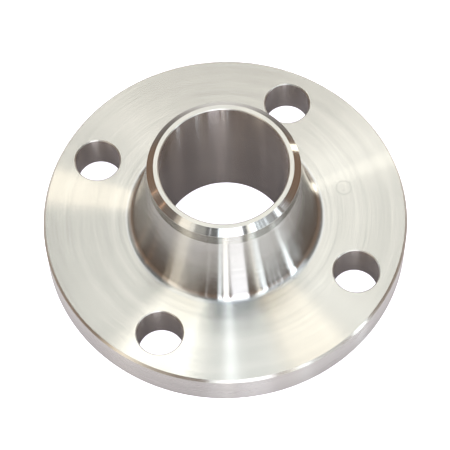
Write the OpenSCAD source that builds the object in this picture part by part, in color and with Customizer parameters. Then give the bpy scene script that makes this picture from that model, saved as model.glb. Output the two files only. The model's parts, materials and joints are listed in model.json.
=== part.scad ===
// Weld neck flange for a 2 inch (DN 50) pipe line: one forging, turned and drilled.
// Origin at the centre of the raised gasket face; +Z runs along the bore to the weld end.

/* [Ring] */
// Outside diameter of the bolting ring
ring_d = 152.4; // [150:0.1:160]
// Thickness of the ring between its nut face and the foot of the raised face
ring_t = 18.5; // [14:0.5:30]
// 45 degree chamfer on the rim's edge beside the nut face
rim_hub_chamfer = 1; // [0.5:0.1:3]
// 45 degree chamfer on the rim's edge beside the gasket face
rim_gasket_chamfer = 2; // [0.5:0.1:3]

/* [Raised face] */
// Diameter of the raised gasket face
face_d = 92.1; // [86:0.1:96]
// Height of the raised face above the ring
face_h = 1.6; // [0.8:0.1:6.4]

/* [Bolt holes] */
// Number of bolt holes, with one pair each side of the centrelines
bolt_count = 4; // [4:4:8]
// Diameter of the bolt circle
bolt_circle_d = 120.65; // [118:0.05:122]
// Diameter of each bolt hole
bolt_hole_d = 19.05; // [14:0.05:20]
// 45 degree broken edge at both mouths of a bolt hole
bolt_hole_edge = 0.4; // [0.2:0.1:1]

/* [Hub] */
// Height of the hub above the ring's nut face
hub_h = 42; // [30:0.5:60]
// Diameter at which the hub's cone would meet the nut face without its fillet
hub_foot_d = 77.6; // [74:0.1:80]
// Radius of the fillet between the hub's cone and the nut face
hub_fillet_r = 3.6; // [1:0.1:5]
// Outside diameter of the weld end
weld_end_d = 62.4; // [61:0.1:64]
// Length of the straight land between the cone and the weld bevel
land_h = 6.2; // [5:0.1:12]
// Angle of the weld bevel, from the plane of the pipe's end
bevel_angle = 37.5; // [20:0.5:45]
// Width of the flat root face that meets the pipe, with the bore's broken edge
root_face_w = 2.1; // [1.5:0.1:2.6]

/* [Bore] */
// Diameter of the bore, equal to the inside of the pipe
bore_d = 52.5; // [50:0.1:54]
// 45 degree broken edge at both mouths of the bore
bore_edge = 0.4; // [0.2:0.1:1]

/* [Hidden] */
$fn = 240;

// Radii of the turned profile
ring_r = ring_d / 2;
face_r = face_d / 2;
hub_foot_r = hub_foot_d / 2;
weld_end_r = weld_end_d / 2;
root_face_r = bore_d / 2 + root_face_w;

// Levels along the bore, from the gasket face
nut_face_z = face_h + ring_t;
weld_end_z = nut_face_z + hub_h;
bevel_foot_z = weld_end_z - (weld_end_r - root_face_r) * tan(bevel_angle);
cone_top_z = bevel_foot_z - land_h;

// The foot fillet touches the cone and the nut face at one distance from their corner
cone_angle = atan((hub_foot_r - weld_end_r) / (cone_top_z - nut_face_z));
fillet_reach = hub_fillet_r / tan((90 + cone_angle) / 2);
fillet_centre = [hub_foot_r + fillet_reach, nut_face_z + hub_fillet_r];
fillet_on_cone = [hub_foot_r - fillet_reach * sin(cone_angle),
                  nut_face_z + fillet_reach * cos(cone_angle)];

// A cutting tool runs this far past the face that it opens
overrun = 1;

// The ring's half section, with a chamfer at each rim edge
module ring_outline() {
    polygon([
        [0, face_h],
        [ring_r - rim_gasket_chamfer, face_h],
        [ring_r, face_h + rim_gasket_chamfer],
        [ring_r, nut_face_z - rim_hub_chamfer],
        [ring_r - rim_hub_chamfer, nut_face_z],
        [0, nut_face_z]
    ]);
}

// The raised face's half section, which runs on up inside the ring
module raised_face_outline() {
    square([face_r, nut_face_z]);
}

// The hub's half section: cone, straight land, weld bevel and root face
module hub_outline() {
    polygon([
        [0, face_h],
        [hub_foot_r, face_h],
        [hub_foot_r, nut_face_z],
        [weld_end_r, cone_top_z],
        [weld_end_r, bevel_foot_z],
        [root_face_r, weld_end_z],
        [0, weld_end_z]
    ]);
}

// The material that the foot fillet leaves in the corner of cone and nut face
module foot_fillet_outline() {
    difference() {
        polygon([
            [hub_foot_r, nut_face_z],
            [fillet_centre.x, nut_face_z],
            fillet_centre,
            fillet_on_cone
        ]);
        translate(fillet_centre) circle(r = hub_fillet_r);
    }
}

// A through hole along +Z with a broken edge at both mouths
module edged_hole(diameter, from_z, to_z, edge) {
    mouth_r = diameter / 2 + edge + overrun;
    flare_h = edge + overrun;
    translate([0, 0, from_z - overrun])
        cylinder(d = diameter, h = to_z - from_z + 2 * overrun);
    translate([0, 0, from_z - overrun])
        cylinder(r1 = mouth_r, r2 = diameter / 2, h = flare_h);
    translate([0, 0, to_z - edge])
        cylinder(r1 = diameter / 2, r2 = mouth_r, h = flare_h);
}

// The bolt holes straddle the centrelines
module bolt_holes() {
    for (i = [0 : bolt_count - 1])
        rotate((i + 0.5) * 360 / bolt_count)
            translate([bolt_circle_d / 2, 0, 0])
                edged_hole(bolt_hole_d, face_h, nut_face_z, bolt_hole_edge);
}

module weld_neck_flange() {
    color("silver")
    difference() {
        rotate_extrude() {
            raised_face_outline();
            ring_outline();
            hub_outline();
            foot_fillet_outline();
        }
        edged_hole(bore_d, 0, weld_end_z, bore_edge);
        bolt_holes();
    }
}

weld_neck_flange();
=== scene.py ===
"""Looks of a weld neck flange: one closed mesh in turned stainless steel.

Each machined surface has its own finish, and the lamps stand where the photo shows their reflections.
"""
import json
import math

import bpy
from mathutils import Matrix, Vector


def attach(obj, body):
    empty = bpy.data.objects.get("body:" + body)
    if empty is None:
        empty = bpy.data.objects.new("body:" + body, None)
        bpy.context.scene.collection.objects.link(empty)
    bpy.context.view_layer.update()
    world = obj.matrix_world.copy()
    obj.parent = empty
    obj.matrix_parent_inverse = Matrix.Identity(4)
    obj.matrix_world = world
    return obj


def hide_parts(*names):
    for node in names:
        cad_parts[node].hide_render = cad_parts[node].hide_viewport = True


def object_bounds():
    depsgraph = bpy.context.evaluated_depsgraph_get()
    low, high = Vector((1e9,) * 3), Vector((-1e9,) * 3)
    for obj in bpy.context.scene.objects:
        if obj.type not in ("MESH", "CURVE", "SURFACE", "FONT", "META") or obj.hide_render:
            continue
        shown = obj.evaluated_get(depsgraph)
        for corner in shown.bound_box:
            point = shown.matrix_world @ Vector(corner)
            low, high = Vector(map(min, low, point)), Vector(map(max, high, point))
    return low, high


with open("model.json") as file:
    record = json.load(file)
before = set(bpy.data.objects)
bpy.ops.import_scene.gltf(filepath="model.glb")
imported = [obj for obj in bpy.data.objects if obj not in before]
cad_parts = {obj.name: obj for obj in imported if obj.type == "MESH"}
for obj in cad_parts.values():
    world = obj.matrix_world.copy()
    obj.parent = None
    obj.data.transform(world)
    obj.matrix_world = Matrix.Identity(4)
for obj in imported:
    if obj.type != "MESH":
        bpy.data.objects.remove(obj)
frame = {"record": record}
cad_low, cad_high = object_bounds()

# ---------------------------------------------------------------- sizes, in metres, all from the frame
NODE = "weld_neck_flange"
MM = 0.001
record = frame["record"]
mounts = {mount["name"]: mount for mount in record["mounts"]}
notes = record["mount_notes"]
bolts, ring_note, weld_note, gasket_note = (
    mounts["bolt_holes"]["dims"], notes["nut_face"], notes["weld_end"], notes["gasket_face"])

RING_R = (cad_high.x - cad_low.x) / 2
TOP_Z = cad_high.z
NUT_Z = mounts["nut_face"]["pos_m"][2]
FACE_Z = gasket_note["height_mm"] * MM
FACE_R = gasket_note["outer_d_mm"] / 2 * MM
RIM_HUB_CHAMFER = ring_note["rim_chamfer_mm"] * MM
RIM_GASKET_CHAMFER = ring_note["rim_gasket_chamfer_mm"] * MM
HUB_FOOT_R = ring_note["hub_foot_d_mm"] / 2 * MM
HUB_FILLET_R = ring_note["hub_fillet_r_mm"] * MM
WELD_R = weld_note["outer_d_mm"] / 2 * MM
BORE_R = mounts["bore"]["dims"]["r_mm"] * MM
BORE_EDGE = notes["bore"]["broken_edge_mm"] * MM
ROOT_R = BORE_R + weld_note["root_face_mm"] * MM
BEVEL_Z = TOP_Z - (WELD_R - ROOT_R) * math.tan(math.radians(weld_note["bevel_deg"]))
CONE_TOP_Z = BEVEL_Z - weld_note["land_mm"] * MM
BOLT_COUNT = bolts["count"]
BOLT_CIRCLE_R = bolts["pcd_mm"] / 2 * MM
BOLT_R = bolts["hole_r_mm"] * MM
BOLT_EDGE = notes["bolt_holes"]["broken_edge_mm"] * MM

# Fine shape that the solid leaves out: rounded corners, and the grooves of the gasket face
CORNER_R = 0.12 * MM
STEP_FILLET_R = 0.4 * MM
GROOVE_PITCH = gasket_note["groove_pitch_mm"] * MM
GROOVE_TOOL_R = gasket_note["groove_tool_r_mm"] * MM
GROOVE_STEPS = 4

# Mesh density
TURN_STEPS = 360
SIDE_STEPS = 24
PLATE_STEPS = 6
ARC_STEP = math.radians(12)


# ---------------------------------------------------------------- outline of the turned shape
def arc(corner, before, after, radius):
    """Points and outward normals of a corner rounded to a radius, and how far along each wall it reaches."""
    into, out = (corner - before).normalized(), (after - corner).normalized()
    turn = math.atan2(into.x * out.y - into.y * out.x, into.dot(out))
    reach = radius * math.tan(abs(turn) / 2)
    side = math.copysign(1, turn)
    start = corner - into * reach
    centre = start + Vector((-into.y, into.x)) * side * radius
    steps = max(2, math.ceil(abs(turn) / ARC_STEP))
    points, normals = [], []
    for i in range(steps + 1):
        angle = turn * i / steps
        spoke = Matrix.Rotation(angle, 2) @ (start - centre)
        points.append(centre + spoke)
        normals.append(spoke.normalized() * side)
    return points, normals


def grooved_wall(start, end):
    """A flat wall cut with shallow round grooves, as a turning tool leaves on a gasket face."""
    along = end - start
    count = round(along.length / GROOVE_PITCH)
    outward = Vector((along.y, -along.x)).normalized()
    half = along.length / count / 2
    depth = GROOVE_TOOL_R - math.sqrt(GROOVE_TOOL_R ** 2 - half ** 2)
    strips = []
    for groove in range(count):
        middle = start + along * (groove + 0.5) / count
        points, normals = [], []
        for i in range(GROOVE_STEPS + 1):
            offset = half * (2 * i / GROOVE_STEPS - 1)
            drop = math.sqrt(GROOVE_TOOL_R ** 2 - offset ** 2) - (GROOVE_TOOL_R - depth)
            points.append(middle + along.normalized() * offset - outward * drop)
            lean = along.normalized() * (-offset / GROOVE_TOOL_R)
            normals.append((outward + lean).normalized())
        strips.append((points, normals))
    return strips


def outline_strips(corners, closed):
    """Strips of (finish, points, normals) along a list of corners, each (radius, height, rounding, finish).

    A corner's finish is that of the wall after it. The metal lies on the left of the way along the outline.
    An open outline's end walls are left out.
    """
    count = len(corners)
    inner = range(count) if closed else range(1, count - 1)
    rounded = {}
    for i in inner:
        here, before, after = (Vector(corners[k % count][:2]) for k in (i, i - 1, i + 1))
        rounded[i] = arc(here, before, after, corners[i][2])
    strips = []
    for i in inner:
        points, normals = rounded[i]
        strips.append(("hub" if corners[i][2] == HUB_FILLET_R else "corner", points, normals))
        following = (i + 1) % count
        if following not in rounded:
            continue
        start, end = points[-1], rounded[following][0][0]
        finish = corners[i][3]
        if finish == "gasket_face":
            strips += [(finish, *strip) for strip in grooved_wall(start, end)]
        else:
            outward = Vector((end.y - start.y, start.x - end.x)).normalized()
            strips.append((finish, [start, end], [outward, outward]))
    return strips


BODY_OUTLINE = [
    (BORE_R + BORE_EDGE, 0, CORNER_R, "gasket_face"),
    (FACE_R, 0, CORNER_R, "ring_front"),
    (FACE_R, FACE_Z, STEP_FILLET_R, "drilled_front"),
    (RING_R - RIM_GASKET_CHAMFER, FACE_Z, CORNER_R, "chamfer"),
    (RING_R, FACE_Z + RIM_GASKET_CHAMFER, CORNER_R, "rim"),
    (RING_R, NUT_Z - RIM_HUB_CHAMFER, CORNER_R, "chamfer"),
    (RING_R - RIM_HUB_CHAMFER, NUT_Z, CORNER_R, "drilled_back"),
    (HUB_FOOT_R, NUT_Z, HUB_FILLET_R, "hub"),
    (WELD_R, CONE_TOP_Z, CORNER_R, "land"),
    (WELD_R, BEVEL_Z, CORNER_R, "bevel"),
    (ROOT_R, TOP_Z, CORNER_R, "root_face"),
    (BORE_R + BORE_EDGE, TOP_Z, CORNER_R, "corner"),
    (BORE_R, TOP_Z - BORE_EDGE, CORNER_R, "bore"),
    (BORE_R, BORE_EDGE, CORNER_R, "corner"),
]
BOLT_OUTLINE = [
    (2 * BOLT_R, NUT_Z, 0, ""),
    (BOLT_R + BOLT_EDGE, NUT_Z, CORNER_R, "corner"),
    (BOLT_R, NUT_Z - BOLT_EDGE, CORNER_R, "bolt_hole"),
    (BOLT_R, FACE_Z + BOLT_EDGE, CORNER_R, "corner"),
    (BOLT_R + BOLT_EDGE, FACE_Z, CORNER_R, ""),
    (2 * BOLT_R, FACE_Z, 0, ""),
]


# ---------------------------------------------------------------- the mesh
class Surface:
    """Gathers points and four-sided faces, with a finish for each face and a normal at each corner."""

    def __init__(self):
        self.points, self.faces, self.finishes, self.normals = [], [], [], []

    def add_points(self, points):
        first = len(self.points)
        self.points += points
        return list(range(first, len(self.points)))

    def add_band(self, lower, upper, lower_normals, upper_normals, finish, closed=True):
        """Faces between two rows of points, seen from outside with the rows running to the right."""
        count = len(lower)
        for i in range(count if closed else count - 1):
            k = (i + 1) % count
            self.faces.append((lower[i], lower[k], upper[k], upper[i]))
            self.normals += [lower_normals[i], lower_normals[k], upper_normals[k], upper_normals[i]]
            self.finishes.append(finish)

    def revolve(self, strips, centre, angles, closed):
        """Turns an outline about an upright axis through centre; returns {(finish, end): row of points}."""
        rows, first, last = {}, None, None
        for number, (finish, points, normals) in enumerate(strips):
            for i, (point, normal) in enumerate(zip(points, normals)):
                turned = [Vector((normal.x * math.cos(a), normal.x * math.sin(a), normal.y)) for a in angles]
                if i == 0 and last is not None:
                    row = last
                elif closed and number == len(strips) - 1 and i == len(points) - 1:
                    row = first
                else:
                    row = self.add_points([
                        (centre[0] + point.x * math.cos(a), centre[1] + point.x * math.sin(a), point.y)
                        for a in angles])
                first = first or row
                if i > 0 and not finish.startswith("drilled"):
                    self.add_band(last, row, last_normals, turned, finish)
                if finish.startswith("drilled"):
                    rows[finish, i] = row
                last, last_normals = row, turned
        rows["first"], rows["last"] = first, last
        return rows

    def sector_borders(self, inner, outer):
        """The points round each bolt hole's sector of a flat ring, anticlockwise from above, each once."""
        sector = TURN_STEPS // BOLT_COUNT
        spokes = []
        for start in range(0, TURN_STEPS, sector):
            near, far = (Vector(self.points[row[start]]) for row in (inner, outer))
            middle = [tuple(near.lerp(far, i / SIDE_STEPS)) for i in range(1, SIDE_STEPS)]
            spokes.append([inner[start], *self.add_points(middle), outer[start]])
        borders = []
        for k in range(BOLT_COUNT):
            around = [i % TURN_STEPS for i in range(k * sector, (k + 1) * sector + 1)]
            leaving, arriving = spokes[(k + 1) % BOLT_COUNT], spokes[k]
            borders.append([outer[i] for i in around[:-1]] + leaving[:0:-1]
                           + [inner[i] for i in around[:0:-1]] + arriving[:-1])
        return borders

    def fill(self, border, hole, finish, up):
        """A flat sheet between a sector's border and its round hole, finer towards the hole."""
        normals = [Vector((0, 0, 1 if up else -1))] * len(border)
        row = border
        for step in range(1, PLATE_STEPS + 1):
            share = (1 - step / PLATE_STEPS) ** 2
            following = hole if step == PLATE_STEPS else self.add_points([
                tuple(Vector(self.points[near]).lerp(Vector(self.points[far]), share))
                for near, far in zip(hole, border)])
            pair = (row, following) if up else (following, row)
            self.add_band(*pair, normals, normals, finish)
            row = following

    def build(self, name, finishes):
        """The Blender object, with one material slot for each finish."""
        mesh = bpy.data.meshes.new(name)
        mesh.from_pydata(self.points, [], self.faces)
        order = list(finishes)
        for material in finishes.values():
            mesh.materials.append(material)
        mesh.polygons.foreach_set("material_index", [order.index(finish) for finish in self.finishes])
        mesh.polygons.foreach_set("use_smooth", [True] * len(self.faces))
        mesh.normals_split_custom_set(self.normals)
        mesh.update()
        obj = bpy.data.objects.new(name, mesh)
        bpy.context.scene.collection.objects.link(obj)
        return obj


def bolt_centre(k):
    """Place of bolt hole k in plan."""
    angle = (k + 0.5) * math.tau / BOLT_COUNT
    return BOLT_CIRCLE_R * math.cos(angle), BOLT_CIRCLE_R * math.sin(angle)


def flange_surface():
    """The whole flange as one closed surface."""
    surface = Surface()
    turn = [math.tau * i / TURN_STEPS for i in range(TURN_STEPS)]
    rows = surface.revolve(outline_strips(BODY_OUTLINE, closed=True), (0, 0), turn, closed=True)
    # The outline runs outwards along the gasket side, and inwards along the nut face
    front_borders = surface.sector_borders(rows["drilled_front", 0], rows["drilled_front", 1])
    back_borders = surface.sector_borders(rows["drilled_back", 1], rows["drilled_back", 0])
    for k, (front_border, back_border) in enumerate(zip(front_borders, back_borders)):
        x, y = bolt_centre(k)
        # Each point of the hole faces a point of the border
        facing = [math.atan2(surface.points[i][1] - y, surface.points[i][0] - x) for i in back_border]
        hole = surface.revolve(outline_strips(BOLT_OUTLINE, closed=False), (x, y), facing, closed=False)
        surface.fill(back_border, hole["first"], "ring_back", up=True)
        surface.fill(front_border, hole["last"], "ring_front", up=False)
    return surface


# ---------------------------------------------------------------- materials
class Shading:
    """The node tree of a material or a world, with short calls for the nodes that they share."""

    def __init__(self, owner, coordinates="Object"):
        owner.use_nodes = True
        self.nodes, self.links = owner.node_tree.nodes, owner.node_tree.links
        self.place = self.nodes.new("ShaderNodeTexCoord").outputs[coordinates]

    def feed(self, socket, value):
        """Links an output to an input, or sets the input to a plain value."""
        if isinstance(value, bpy.types.NodeSocket):
            self.links.new(value, socket)
        else:
            socket.default_value = value

    def shader(self, settings):
        """A metallic Principled shader with some inputs set or linked by name."""
        node = self.nodes.new("ShaderNodeBsdfPrincipled")
        node.inputs["Metallic"].default_value = 1.0
        for name, value in settings.items():
            self.feed(node.inputs[name], value)
        return node.outputs["BSDF"]

    def show(self, shaders):
        """Gives the material equal parts of each shader."""
        mixed = shaders[0]
        for count, shader in enumerate(shaders[1:], 2):
            node = self.nodes.new("ShaderNodeMixShader")
            self.feed(node.inputs["Fac"], 1 / count)
            self.links.new(mixed, node.inputs[1])
            self.links.new(shader, node.inputs[2])
            mixed = node.outputs["Shader"]
        self.links.new(mixed, self.nodes["Material Output"].inputs["Surface"])

    def math(self, operation, *values):
        node = self.nodes.new("ShaderNodeMath")
        node.operation = operation
        for socket, value in zip(node.inputs, values):
            self.feed(socket, value)
        return node.outputs["Value"]

    def vector(self, operation, *values):
        node = self.nodes.new("ShaderNodeVectorMath")
        node.operation = operation
        for socket, value in zip(node.inputs, values):
            self.feed(socket, value)
        return node.outputs["Value" if operation == "LENGTH" else "Vector"]

    def combine(self, x, y, z):
        node = self.nodes.new("ShaderNodeCombineXYZ")
        for socket, value in zip(node.inputs, (x, y, z)):
            self.feed(socket, value)
        return node.outputs["Vector"]

    def parts(self, vector):
        node = self.nodes.new("ShaderNodeSeparateXYZ")
        self.links.new(vector, node.inputs["Vector"])
        return node.outputs

    def noise(self, vector, scale, detail):
        """Smooth noise between 0 and 1."""
        node = self.nodes.new("ShaderNodeTexNoise")
        self.links.new(vector, node.inputs["Vector"])
        node.inputs["Scale"].default_value = scale
        node.inputs["Detail"].default_value = detail
        return node.outputs["Fac"]

    def spread(self, value, low, high, from_low=0.3, from_high=0.7):
        """Moves a value from one range to another, held at both ends."""
        node = self.nodes.new("ShaderNodeMapRange")
        for socket, setting in zip(node.inputs, (value, from_low, from_high, low, high)):
            self.feed(socket, setting)
        return node.outputs["Result"]

    def blend(self, amount, first, second):
        """A colour between two others."""
        node = self.nodes.new("ShaderNodeMix")
        node.data_type = "RGBA"
        self.feed(node.inputs["Factor"], amount)
        for socket, colour in zip([s for s in node.inputs if s.type == "RGBA"], (first, second)):
            self.feed(socket, colour)
        return next(s for s in node.outputs if s.type == "RGBA")

    def curve(self, value, stops):
        """A value between 0 and 1 that runs straight between stops of (place, height)."""
        node = self.nodes.new("ShaderNodeValToRGB")
        ramp = node.color_ramp
        while len(ramp.elements) < len(stops):
            ramp.elements.new(1)
        for element, (place, height) in zip(ramp.elements, stops):
            element.position = place
            element.color = (height, height, height, 1)
        self.feed(node.inputs["Fac"], value)
        return node.outputs["Color"]

    def sight(self):
        """1 where the camera looks straight at the surface, and 0 where the steel or the light sees it."""
        return self.nodes.new("ShaderNodeLightPath").outputs["Is Camera Ray"]


# Tints, and how far the brightest and dullest parts of a surface stray from them
STEEL = (0.66, 0.65, 0.625)
POLISHED_STEEL = (0.65, 0.65, 0.65)
SHADED_STEEL = (0.72, 0.675, 0.65)
BRIGHT_SHARE, DULL_SHARE = 1.05, 0.92
UNEVEN_GLOSS = 0.01

# Tool marks: fine grooves, coarser ones, and bands of several coarse ones
FINE_PITCH = 0.12 * MM
TURNED_PITCH = 0.8 * MM
EDGE_PITCH = 0.5 * MM
BAND_PITCHES = 5
COARSE_SHARE = 0.3
CLOUD_SCALE = 45

# How far the grooves' sides slope. On the nut face a positive slope leans outwards, on an inner wall upwards,
# and on an outer wall downwards.
LEVEL_SLANTS = (0,)
RING_SLANTS = (-0.06, 0.02, 0.1, 0.18, 0.26)
HUB_SLANTS = (-0.16, 0, 0.16)
RIM_SLANTS = (-0.65, -0.1, 0, 0.1, 0.2)
BORE_SLANTS = (-0.1, 0.05, 0.2, 0.6)

# A dried drop's outline on the ring, and smears round the hub's foot
DROP_PLACE = (51.4 * MM, -4.2 * MM, NUT_Z)
DROP_R = 3.2 * MM
DROP_EDGE = 0.45 * MM
DROP_STRENGTH = 0.6
SMEAR_STRENGTH = 0.28
SMEAR_START, SMEAR_END = HUB_FOOT_R + 6 * MM, HUB_FOOT_R + 22 * MM
SMEAR_SQUEEZE = (420, 1, 12)
SMEAR_FADE = (0.5, 0.65)
STAIN_SHADE = 0.76
STAIN_ROUGHNESS = 0.04


def scaled_colour(tint, share):
    return tuple(channel * share for channel in tint) + (1,)


def turned_steel(name, tint, roughness, grain, lean, pitch, slants=LEVEL_SLANTS, centre_of=None, stain=None):
    """Steel cut on a lathe or by a drill: fine grooves run round the axis and spread light across themselves.

    grain is the Principled node's anisotropy, lean is how unevenly the grooves tip the surface, and pitch is
    how far apart the coarser tool marks are. The slants share the surface in equal parts.
    centre_of turns a place into the nearest axis, for surfaces that don't run round the flange's own.
    stain turns the finish into a value that is 1 where the steel is stained.
    """
    material = bpy.data.materials.new(name)
    finish = Shading(material)
    finish.nodes.remove(finish.nodes["Principled BSDF"])
    spoke = finish.place
    if centre_of is not None:
        spoke = finish.vector("SUBTRACT", spoke, centre_of(finish))
    flat = finish.vector("MULTIPLY", spoke, (1, 1, 0))
    heading = finish.parts(finish.vector("NORMALIZE", flat))
    # Runs on steadily from the rim up to the weld end, so that it counts the grooves on any turned surface
    along = finish.math("SUBTRACT", finish.parts(spoke)["Z"], finish.vector("LENGTH", flat))

    def marks(width, swing, detail):
        """Noise in rings of about the given width, that changes slowly round the turn."""
        return finish.noise(finish.combine(
            finish.math("DIVIDE", along, width),
            finish.math("MULTIPLY", heading["X"], swing),
            finish.math("MULTIPLY", heading["Y"], swing)), scale=1, detail=detail)

    fine = marks(FINE_PITCH, swing=2, detail=1)
    coarse = marks(pitch, swing=0.6, detail=2)
    bands = marks(pitch * BAND_PITCHES, swing=0.9, detail=2)
    cloud = finish.noise(finish.place, scale=CLOUD_SCALE, detail=3)
    mottle = finish.math("MULTIPLY", finish.math("ADD", bands, cloud), 0.5)
    groove = finish.vector("NORMALIZE", finish.vector("CROSS_PRODUCT", (0, 0, 1), spoke))
    level = finish.nodes.new("ShaderNodeNewGeometry").outputs["Normal"]
    across = finish.vector("CROSS_PRODUCT", groove, level)
    uneven = finish.math("ADD", finish.math("MULTIPLY", finish.math("SUBTRACT", fine, 0.5), lean),
                         finish.math("MULTIPLY", finish.math("SUBTRACT", coarse, 0.5), lean * COARSE_SHARE))
    colour = finish.blend(finish.spread(mottle, 0, 1), scaled_colour(tint, DULL_SHARE),
                          scaled_colour(tint, BRIGHT_SHARE))
    rough = finish.math("ADD", finish.spread(coarse, -UNEVEN_GLOSS, UNEVEN_GLOSS),
                        finish.spread(cloud, roughness - UNEVEN_GLOSS, roughness + UNEVEN_GLOSS))
    if stain is not None:
        stained = stain(finish)
        colour = finish.blend(stained, colour, scaled_colour(tint, STAIN_SHADE))
        rough = finish.math("MULTIPLY_ADD", stained, STAIN_ROUGHNESS, rough)
    look = {
        "Base Color": colour,
        "Roughness": rough,
        "Anisotropic": grain,
        # A quarter turn lays the narrow side of the highlight along the grooves
        "Anisotropic Rotation": 0.25,
        "Tangent": groove,
    }
    sides = []
    for slant in slants:
        tip = finish.math("ADD", uneven, slant)
        tipped = finish.vector("ADD", level, finish.vector("MULTIPLY", across, finish.combine(tip, tip, tip)))
        sides.append(finish.shader({**look, "Normal": finish.vector("NORMALIZE", tipped)}))
    finish.show(sides)
    return material


def nearest_bolt(finish):
    """The axis of the bolt hole in the same quarter of the flange as the place."""
    x, y = bolt_centre(0)
    return finish.vector("MULTIPLY", finish.vector("SIGN", finish.place), (x, y, 0))


def handling_stains(finish):
    """Where the ring is a little dull: one dried drop's outline, and faint smears round the hub's foot."""
    off_drop = finish.vector("LENGTH", finish.vector("SUBTRACT", finish.place, DROP_PLACE))
    off_outline = finish.math("ABSOLUTE", finish.math("SUBTRACT", off_drop, DROP_R))
    outline = finish.spread(off_outline, DROP_STRENGTH, 0, 0, DROP_EDGE)
    from_axis = finish.vector("LENGTH", finish.vector("MULTIPLY", finish.place, (1, 1, 0)))
    near_hub = finish.spread(from_axis, SMEAR_STRENGTH, 0, SMEAR_START, SMEAR_END)
    # Squeezed along the radius, so that the smears run round the turn
    across = finish.combine(from_axis, finish.parts(finish.place)["X"], finish.parts(finish.place)["Y"])
    swept = finish.noise(finish.vector("MULTIPLY", across, SMEAR_SQUEEZE), scale=1, detail=3)
    smears = finish.math("MULTIPLY", finish.spread(swept, 0, 1, *SMEAR_FADE), near_hub)
    return finish.math("MAXIMUM", outline, smears)


def finishes():
    """The material of each machined surface, by the name that the outlines give it."""
    return {
        "ring_back": turned_steel("faced_steel", STEEL, roughness=0.16, grain=1.0, lean=0.12,
                                  pitch=TURNED_PITCH, slants=RING_SLANTS, stain=handling_stains),
        "ring_front": turned_steel("faced_steel_front", STEEL, roughness=0.25, grain=1.0, lean=0.25,
                                   pitch=TURNED_PITCH),
        "gasket_face": turned_steel("gasket_face_steel", STEEL, roughness=0.27, grain=0.9, lean=0.2,
                                    pitch=TURNED_PITCH),
        "rim": turned_steel("rim_steel", STEEL, roughness=0.28, grain=0.9, lean=0.2,
                            pitch=TURNED_PITCH, slants=RIM_SLANTS),
        "chamfer": turned_steel("chamfer_steel", STEEL, roughness=0.27, grain=0.8, lean=0.2,
                                pitch=EDGE_PITCH),
        "hub": turned_steel("hub_steel", POLISHED_STEEL, roughness=0.15, grain=1.0, lean=0.12,
                            pitch=TURNED_PITCH, slants=HUB_SLANTS),
        "land": turned_steel("land_steel", STEEL, roughness=0.22, grain=0.9, lean=0.3, pitch=TURNED_PITCH),
        "bevel": turned_steel("bevel_steel", POLISHED_STEEL, roughness=0.13, grain=0.8, lean=0.1,
                              pitch=EDGE_PITCH),
        "root_face": turned_steel("root_face_steel", STEEL, roughness=0.33, grain=0.9, lean=0.3,
                                  pitch=EDGE_PITCH),
        "bore": turned_steel("bore_steel", SHADED_STEEL, roughness=0.21, grain=1.0, lean=0.08,
                             pitch=TURNED_PITCH, slants=BORE_SLANTS),
        "bolt_hole": turned_steel("drilled_steel", SHADED_STEEL, roughness=0.25, grain=0.9, lean=0.04,
                                  pitch=TURNED_PITCH, slants=BORE_SLANTS, centre_of=nearest_bolt),
        "corner": turned_steel("corner_steel", STEEL, roughness=0.33, grain=0.5, lean=0.1, pitch=EDGE_PITCH),
    }


flange = flange_surface().build("flange", finishes())
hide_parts(NODE)
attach(flange, "root")

# ---------------------------------------------------------------- camera
# Fitted to the edges of the flange in the photo. The camera aims beside the middle of the nut face.
CAMERA_AZIMUTH = math.radians(-17.26)
CAMERA_ELEVATION = math.radians(62.31)
CAMERA_ROLL = math.radians(1.72)
CAMERA_DISTANCE = 0.8797
CAMERA_LENS_MM = 168.2
CAMERA_CLIP = (0.01, 20)
AIM_SHIFT = Vector((0.18, 4.25)) * MM


def add_camera():
    back = Vector((math.sin(CAMERA_AZIMUTH) * math.cos(CAMERA_ELEVATION),
                   -math.cos(CAMERA_AZIMUTH) * math.cos(CAMERA_ELEVATION), math.sin(CAMERA_ELEVATION)))
    right = Vector((math.cos(CAMERA_AZIMUTH), math.sin(CAMERA_AZIMUTH), 0))
    up = back.cross(right)
    aim = Vector((0, 0, NUT_Z)) - right * AIM_SHIFT.x - up * AIM_SHIFT.y
    rolled_right = right * math.cos(CAMERA_ROLL) - up * math.sin(CAMERA_ROLL)
    rolled_up = up * math.cos(CAMERA_ROLL) + right * math.sin(CAMERA_ROLL)
    data = bpy.data.cameras.new("camera")
    data.lens = CAMERA_LENS_MM
    data.clip_start, data.clip_end = CAMERA_CLIP
    camera = bpy.data.objects.new("camera", data)
    camera.matrix_world = Matrix.Translation(aim + back * CAMERA_DISTANCE) @ Matrix(
        (rolled_right, rolled_up, back)).transposed().to_4x4()
    bpy.context.scene.collection.objects.link(camera)
    bpy.context.scene.camera = camera


add_camera()

# ---------------------------------------------------------------- studio
# Directions are in degrees: azimuth counts anticlockwise from the right of the camera's view, elevation up.
# Widths and heights are in degrees too, as seen from the flange. A lamp of brightness 1 would look white in a
# perfect mirror, and steel shows it a third darker.
WHITE = (1, 1, 1)
CREAM = (1, 0.99, 0.925)
IVORY = (1, 0.97, 0.86)
WARM = (1, 0.88, 0.68)
COOL = (0.86, 0.95, 1)
COPPER = (1, 0.55, 0.3)
GOLD = (1, 0.94, 0.76)
LAVENDER = (0.92, 0.94, 1)
LAMP_DISTANCE = 1.2


def direction(azimuth, elevation):
    """Unit vector towards a place in the studio."""
    turn, tilt = math.radians(azimuth) + CAMERA_AZIMUTH, math.radians(elevation)
    return Vector((math.cos(tilt) * math.cos(turn), math.cos(tilt) * math.sin(turn), math.sin(tilt)))


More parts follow.
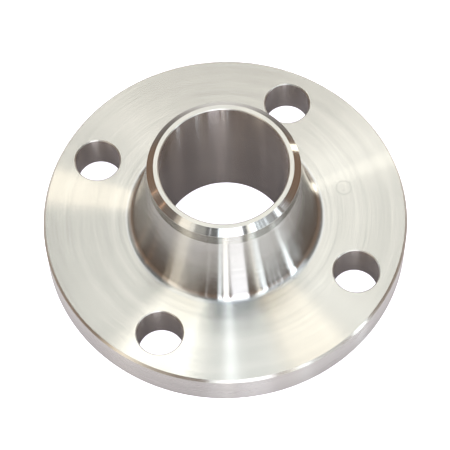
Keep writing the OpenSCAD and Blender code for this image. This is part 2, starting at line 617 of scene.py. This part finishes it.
def add_lamp(name, outward, axes, width, height, brightness, colour):
    """A flat lamp that faces the flange. The camera doesn't see it, but the steel does."""
    data = bpy.data.lights.new(name, "AREA")
    data.shape = "RECTANGLE"
    data.size, data.size_y = width, height
    data.energy = brightness * math.pi * data.size * data.size_y
    data.color = colour
    lamp = bpy.data.objects.new(name, data)
    lamp.matrix_world = Matrix.Translation(Vector((0, 0, NUT_Z)) + outward * LAMP_DISTANCE) @ axes.to_4x4()
    lamp.visible_camera = False
    bpy.context.scene.collection.objects.link(lamp)


def softbox(name, azimuth, elevation, width, height, brightness, colour=WHITE):
    """A lamp placed by its direction from the flange, with its lower edge level."""
    outward = direction(azimuth, elevation)
    sides = (2 * LAMP_DISTANCE * math.tan(math.radians(angle) / 2) for angle in (width, height))
    add_lamp(name, outward, outward.to_track_quat("Z", "Y").to_matrix(), *sides, brightness, colour)


def fan_lamp(name, azimuth, spread, brightness, colour=WHITE, near=9, far=20):
    """A lamp placed by where it shows: as a bright wedge on the ring, round an azimuth and as wide as spread.

    near and far are how far the grooves' sides lean from level, in degrees, where they catch it.
    """
    view = direction(-90, math.degrees(CAMERA_ELEVATION))

    def source(turn, lean):
        facing = direction(turn, 90 - lean)
        return 2 * facing.dot(view) * facing - view

    middle = (near + far) / 2
    outward = source(azimuth, middle).normalized()
    along = source(azimuth, far) - source(azimuth, near)
    across = source(azimuth + spread / 2, middle) - source(azimuth - spread / 2, middle)
    right = (along - outward * along.dot(outward)).normalized()
    axes = Matrix((right, outward.cross(right), outward)).transposed()
    width, height = along.length * LAMP_DISTANCE, across.length * LAMP_DISTANCE
    add_lamp(name, outward, axes, width, height, brightness, colour)


def add_world():
    """A dim room for the steel to mirror, and a white backdrop for the camera."""
    world = bpy.data.worlds.new("studio")
    bpy.context.scene.world = world
    studio = Shading(world, "Generated")
    height = studio.parts(studio.place)["Z"]
    room = studio.blend(studio.spread(height, 0, 1, WALL_TOP, CEILING_FOOT), WALL_COLOUR, CEILING_COLOUR)
    seen = studio.blend(studio.sight(), room, BACKDROP_COLOUR)
    studio.feed(studio.nodes["Background"].inputs["Color"], seen)


def glowing_floor():
    """White paper to the camera, glowing besides. To the steel it glows as painted light: dark below the
    flange as a painted shadow, a pale pool of painted light round it, dim far away.
    """
    material = bpy.data.materials.new("glowing_floor")
    paper = Shading(material)
    distance = paper.math("DIVIDE", paper.vector("LENGTH", paper.place), FLOOR_SHADE_REACH)
    stops, tints = ([(place / FLOOR_SHADE_REACH, height) for place, height in steps]
                    for steps in (FLOOR_SHADE, FLOOR_TINT))
    # The glow that the steel sees: a painted shadow below the flange and a painted pool of light round it
    shade = paper.math("MULTIPLY", paper.curve(distance, stops), FLOOR_LIGHT)
    shader = paper.nodes["Principled BSDF"]
    for name, value in {
        "Base Color": paper.blend(paper.sight(), FLOOR_IN_STEEL, FLOOR_PAPER),
        "Roughness": 1.0,
        "Specular IOR Level": 0.0,
        "Emission Color": paper.blend(paper.curve(distance, tints), FLOOR_NEAR_COLOUR, FLOOR_FAR_COLOUR),
        "Emission Strength": paper.math("MULTIPLY_ADD", paper.sight(), FLOOR_GLOW, shade),
    }.items():
        paper.feed(shader.inputs[name], value)
    return material


def add_floor():
    mesh = bpy.data.meshes.new("floor")
    corners = [(x * FLOOR_HALF, y * FLOOR_HALF, 0) for x, y in ((-1, -1), (1, -1), (1, 1), (-1, 1))]
    mesh.from_pydata(corners, [], [(0, 1, 2, 3)])
    mesh.materials.append(glowing_floor())
    floor = bpy.data.objects.new("floor", mesh)
    floor.location.z = -FLOOR_GAP
    bpy.context.scene.collection.objects.link(floor)


# The room's heights are sines of the elevation
WALL_COLOUR = (0.29, 0.19, 0.13, 1)
CEILING_COLOUR = (0.2, 0.215, 0.215, 1)
WALL_TOP = 0.35
CEILING_FOOT = 0.7
BACKDROP_COLOUR = (1, 1, 1, 1)

# The floor's glow is painted light. Its tint and its painted shade change with the distance from the flange's
# axis
FLOOR_HALF = 8
FLOOR_GAP = 0.2 * MM
FLOOR_PAPER = (0.8, 0.8, 0.8, 1)
FLOOR_IN_STEEL = (0.155, 0.13, 0.12, 1)
FLOOR_NEAR_COLOUR = (0.94, 0.91, 1, 1)
FLOOR_FAR_COLOUR = (1, 0.98, 0.93, 1)
FLOOR_GLOW = 1.2
FLOOR_LIGHT = 1.3
FLOOR_TINT = [(RING_R + 20 * MM, 0), (RING_R + 40 * MM, 1)]
# Painted light in the floor's glow: a painted shadow below the flange, a painted pool of light round it, dim
# far away
FLOOR_SHADE = [(RING_R - 12 * MM, 0.09), (RING_R + 15 * MM, 0.76), (RING_R + 60 * MM, 1),
               (RING_R + 150 * MM, 1), (RING_R + 220 * MM, 0.1)]
FLOOR_SHADE_REACH = 0.5

softbox("front_left_edge", 263, 30, 3.5, 60, 2.1, COOL)
softbox("front_slit", 268.9, 30, 4.6, 60, 3.3)
softbox("front_box", 281.7, 30, 14.8, 60, 2.7, LAVENDER)
softbox("front_right_slit", 299.5, 30, 3.5, 60, 1.4, IVORY)
softbox("front_right_box", 305, 30, 4.5, 60, 3.2, COOL)
softbox("right_slit_low", 334.5, 15, 5, 30, 5.4, COOL)
softbox("right_slit_high", 338.5, 45, 4, 30, 2.2, COOL)
softbox("right_edge", 350, 45, 8, 25, 1.7, COOL)
softbox("left_slit", 221.5, 30, 15, 60, 0.75, IVORY)
softbox("left_khaki", 236, 30, 14, 60, 0.3, IVORY)
for azimuth, brightness in ((236, 1.4), (250.5, 1.0)):
    softbox(f"left_line_{azimuth:.0f}", azimuth, 30, 0.8, 60, brightness)
softbox("left_glow", 216, 25, 16, 50, 0.45, WARM)
for azimuth, brightness in ((311.5, 1.2), (316, 0.9), (321.5, 1.5)):
    softbox(f"right_line_{azimuth:.0f}", azimuth, 30, 1.4, 60, brightness, COOL)
softbox("right_glow", 320, 30, 18, 60, 0.36, COOL)
softbox("back_box", 85, 62, 28, 24, 2.02, CREAM)
softbox("overhead", 270, 85, 20, 8, 1.6, COOL)
softbox("copper_low", 172, 22, 1.5, 16, 0.6, COPPER)
softbox("copper_high", 187, 28, 1.5, 16, 0.8, COPPER)
softbox("back_left_box", 150, 34, 44, 12, 0.8, IVORY)
softbox("back_right_slit", 43, 12, 5, 30, 2.6, GOLD)
softbox("back_right_box", 52, 20, 22, 10, 1.6, IVORY)
fan_lamp("left_fan", 169, 12, 1.2, WARM, 10, 22)
fan_lamp("front_left_fan", 244.5, 26, 2.2, IVORY)
fan_lamp("front_fan", 270.5, 4, 1.5, COOL)
fan_lamp("front_right_fan", 300, 21, 1.2, WARM)
fan_lamp("right_fan", 17.5, 5, 1.2, IVORY, 16, 26)
add_world()
add_floor()
bpy.context.scene.view_settings.view_transform = "Standard"
